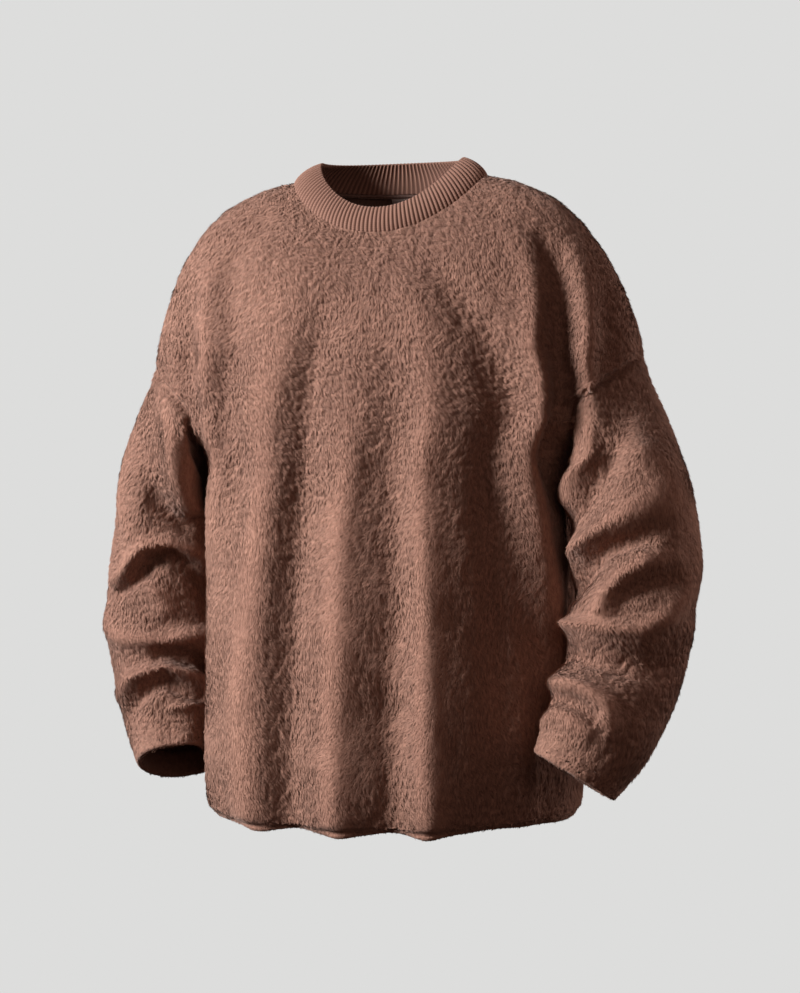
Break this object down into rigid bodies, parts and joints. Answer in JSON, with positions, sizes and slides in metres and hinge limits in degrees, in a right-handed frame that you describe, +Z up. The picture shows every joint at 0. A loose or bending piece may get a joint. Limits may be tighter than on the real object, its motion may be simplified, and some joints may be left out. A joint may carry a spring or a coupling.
{
  "type": "fleece pullover, crew neck, worn shape, held up by its wearer",
  "caption": "Oversized crew-neck pullover in deep plush fleece, hanging as worn: drop shoulders, wide creased sleeves, ribbed neckband, turned-up hem and cuffs.",
  "frame": {"origin": "middle of the neck opening, level with the shoulder ends of the neck seam, where the wearer's neck and shoulders hold the garment up", "axes": "+X is the wearer's left, -Y is the front, +Z is up"},
  "size_m": [0.6838, 0.3294, 0.707],
  "materials": {
    "fleece": "deep brown plush pile",
    "rib_knit": "matte rib knit",
    "woven_tape": "matte woven tape",
    "label_satin": "blank satin weave"
  },
  "bodies": {
    "root": {"front": "fleece", "back": "fleece", "sleeve_left": "fleece", "sleeve_right": "fleece", "neck_rib": "rib_knit", "neck_tape": "woven_tape", "neck_label": "label_satin"}
  },
  "joints": []
}
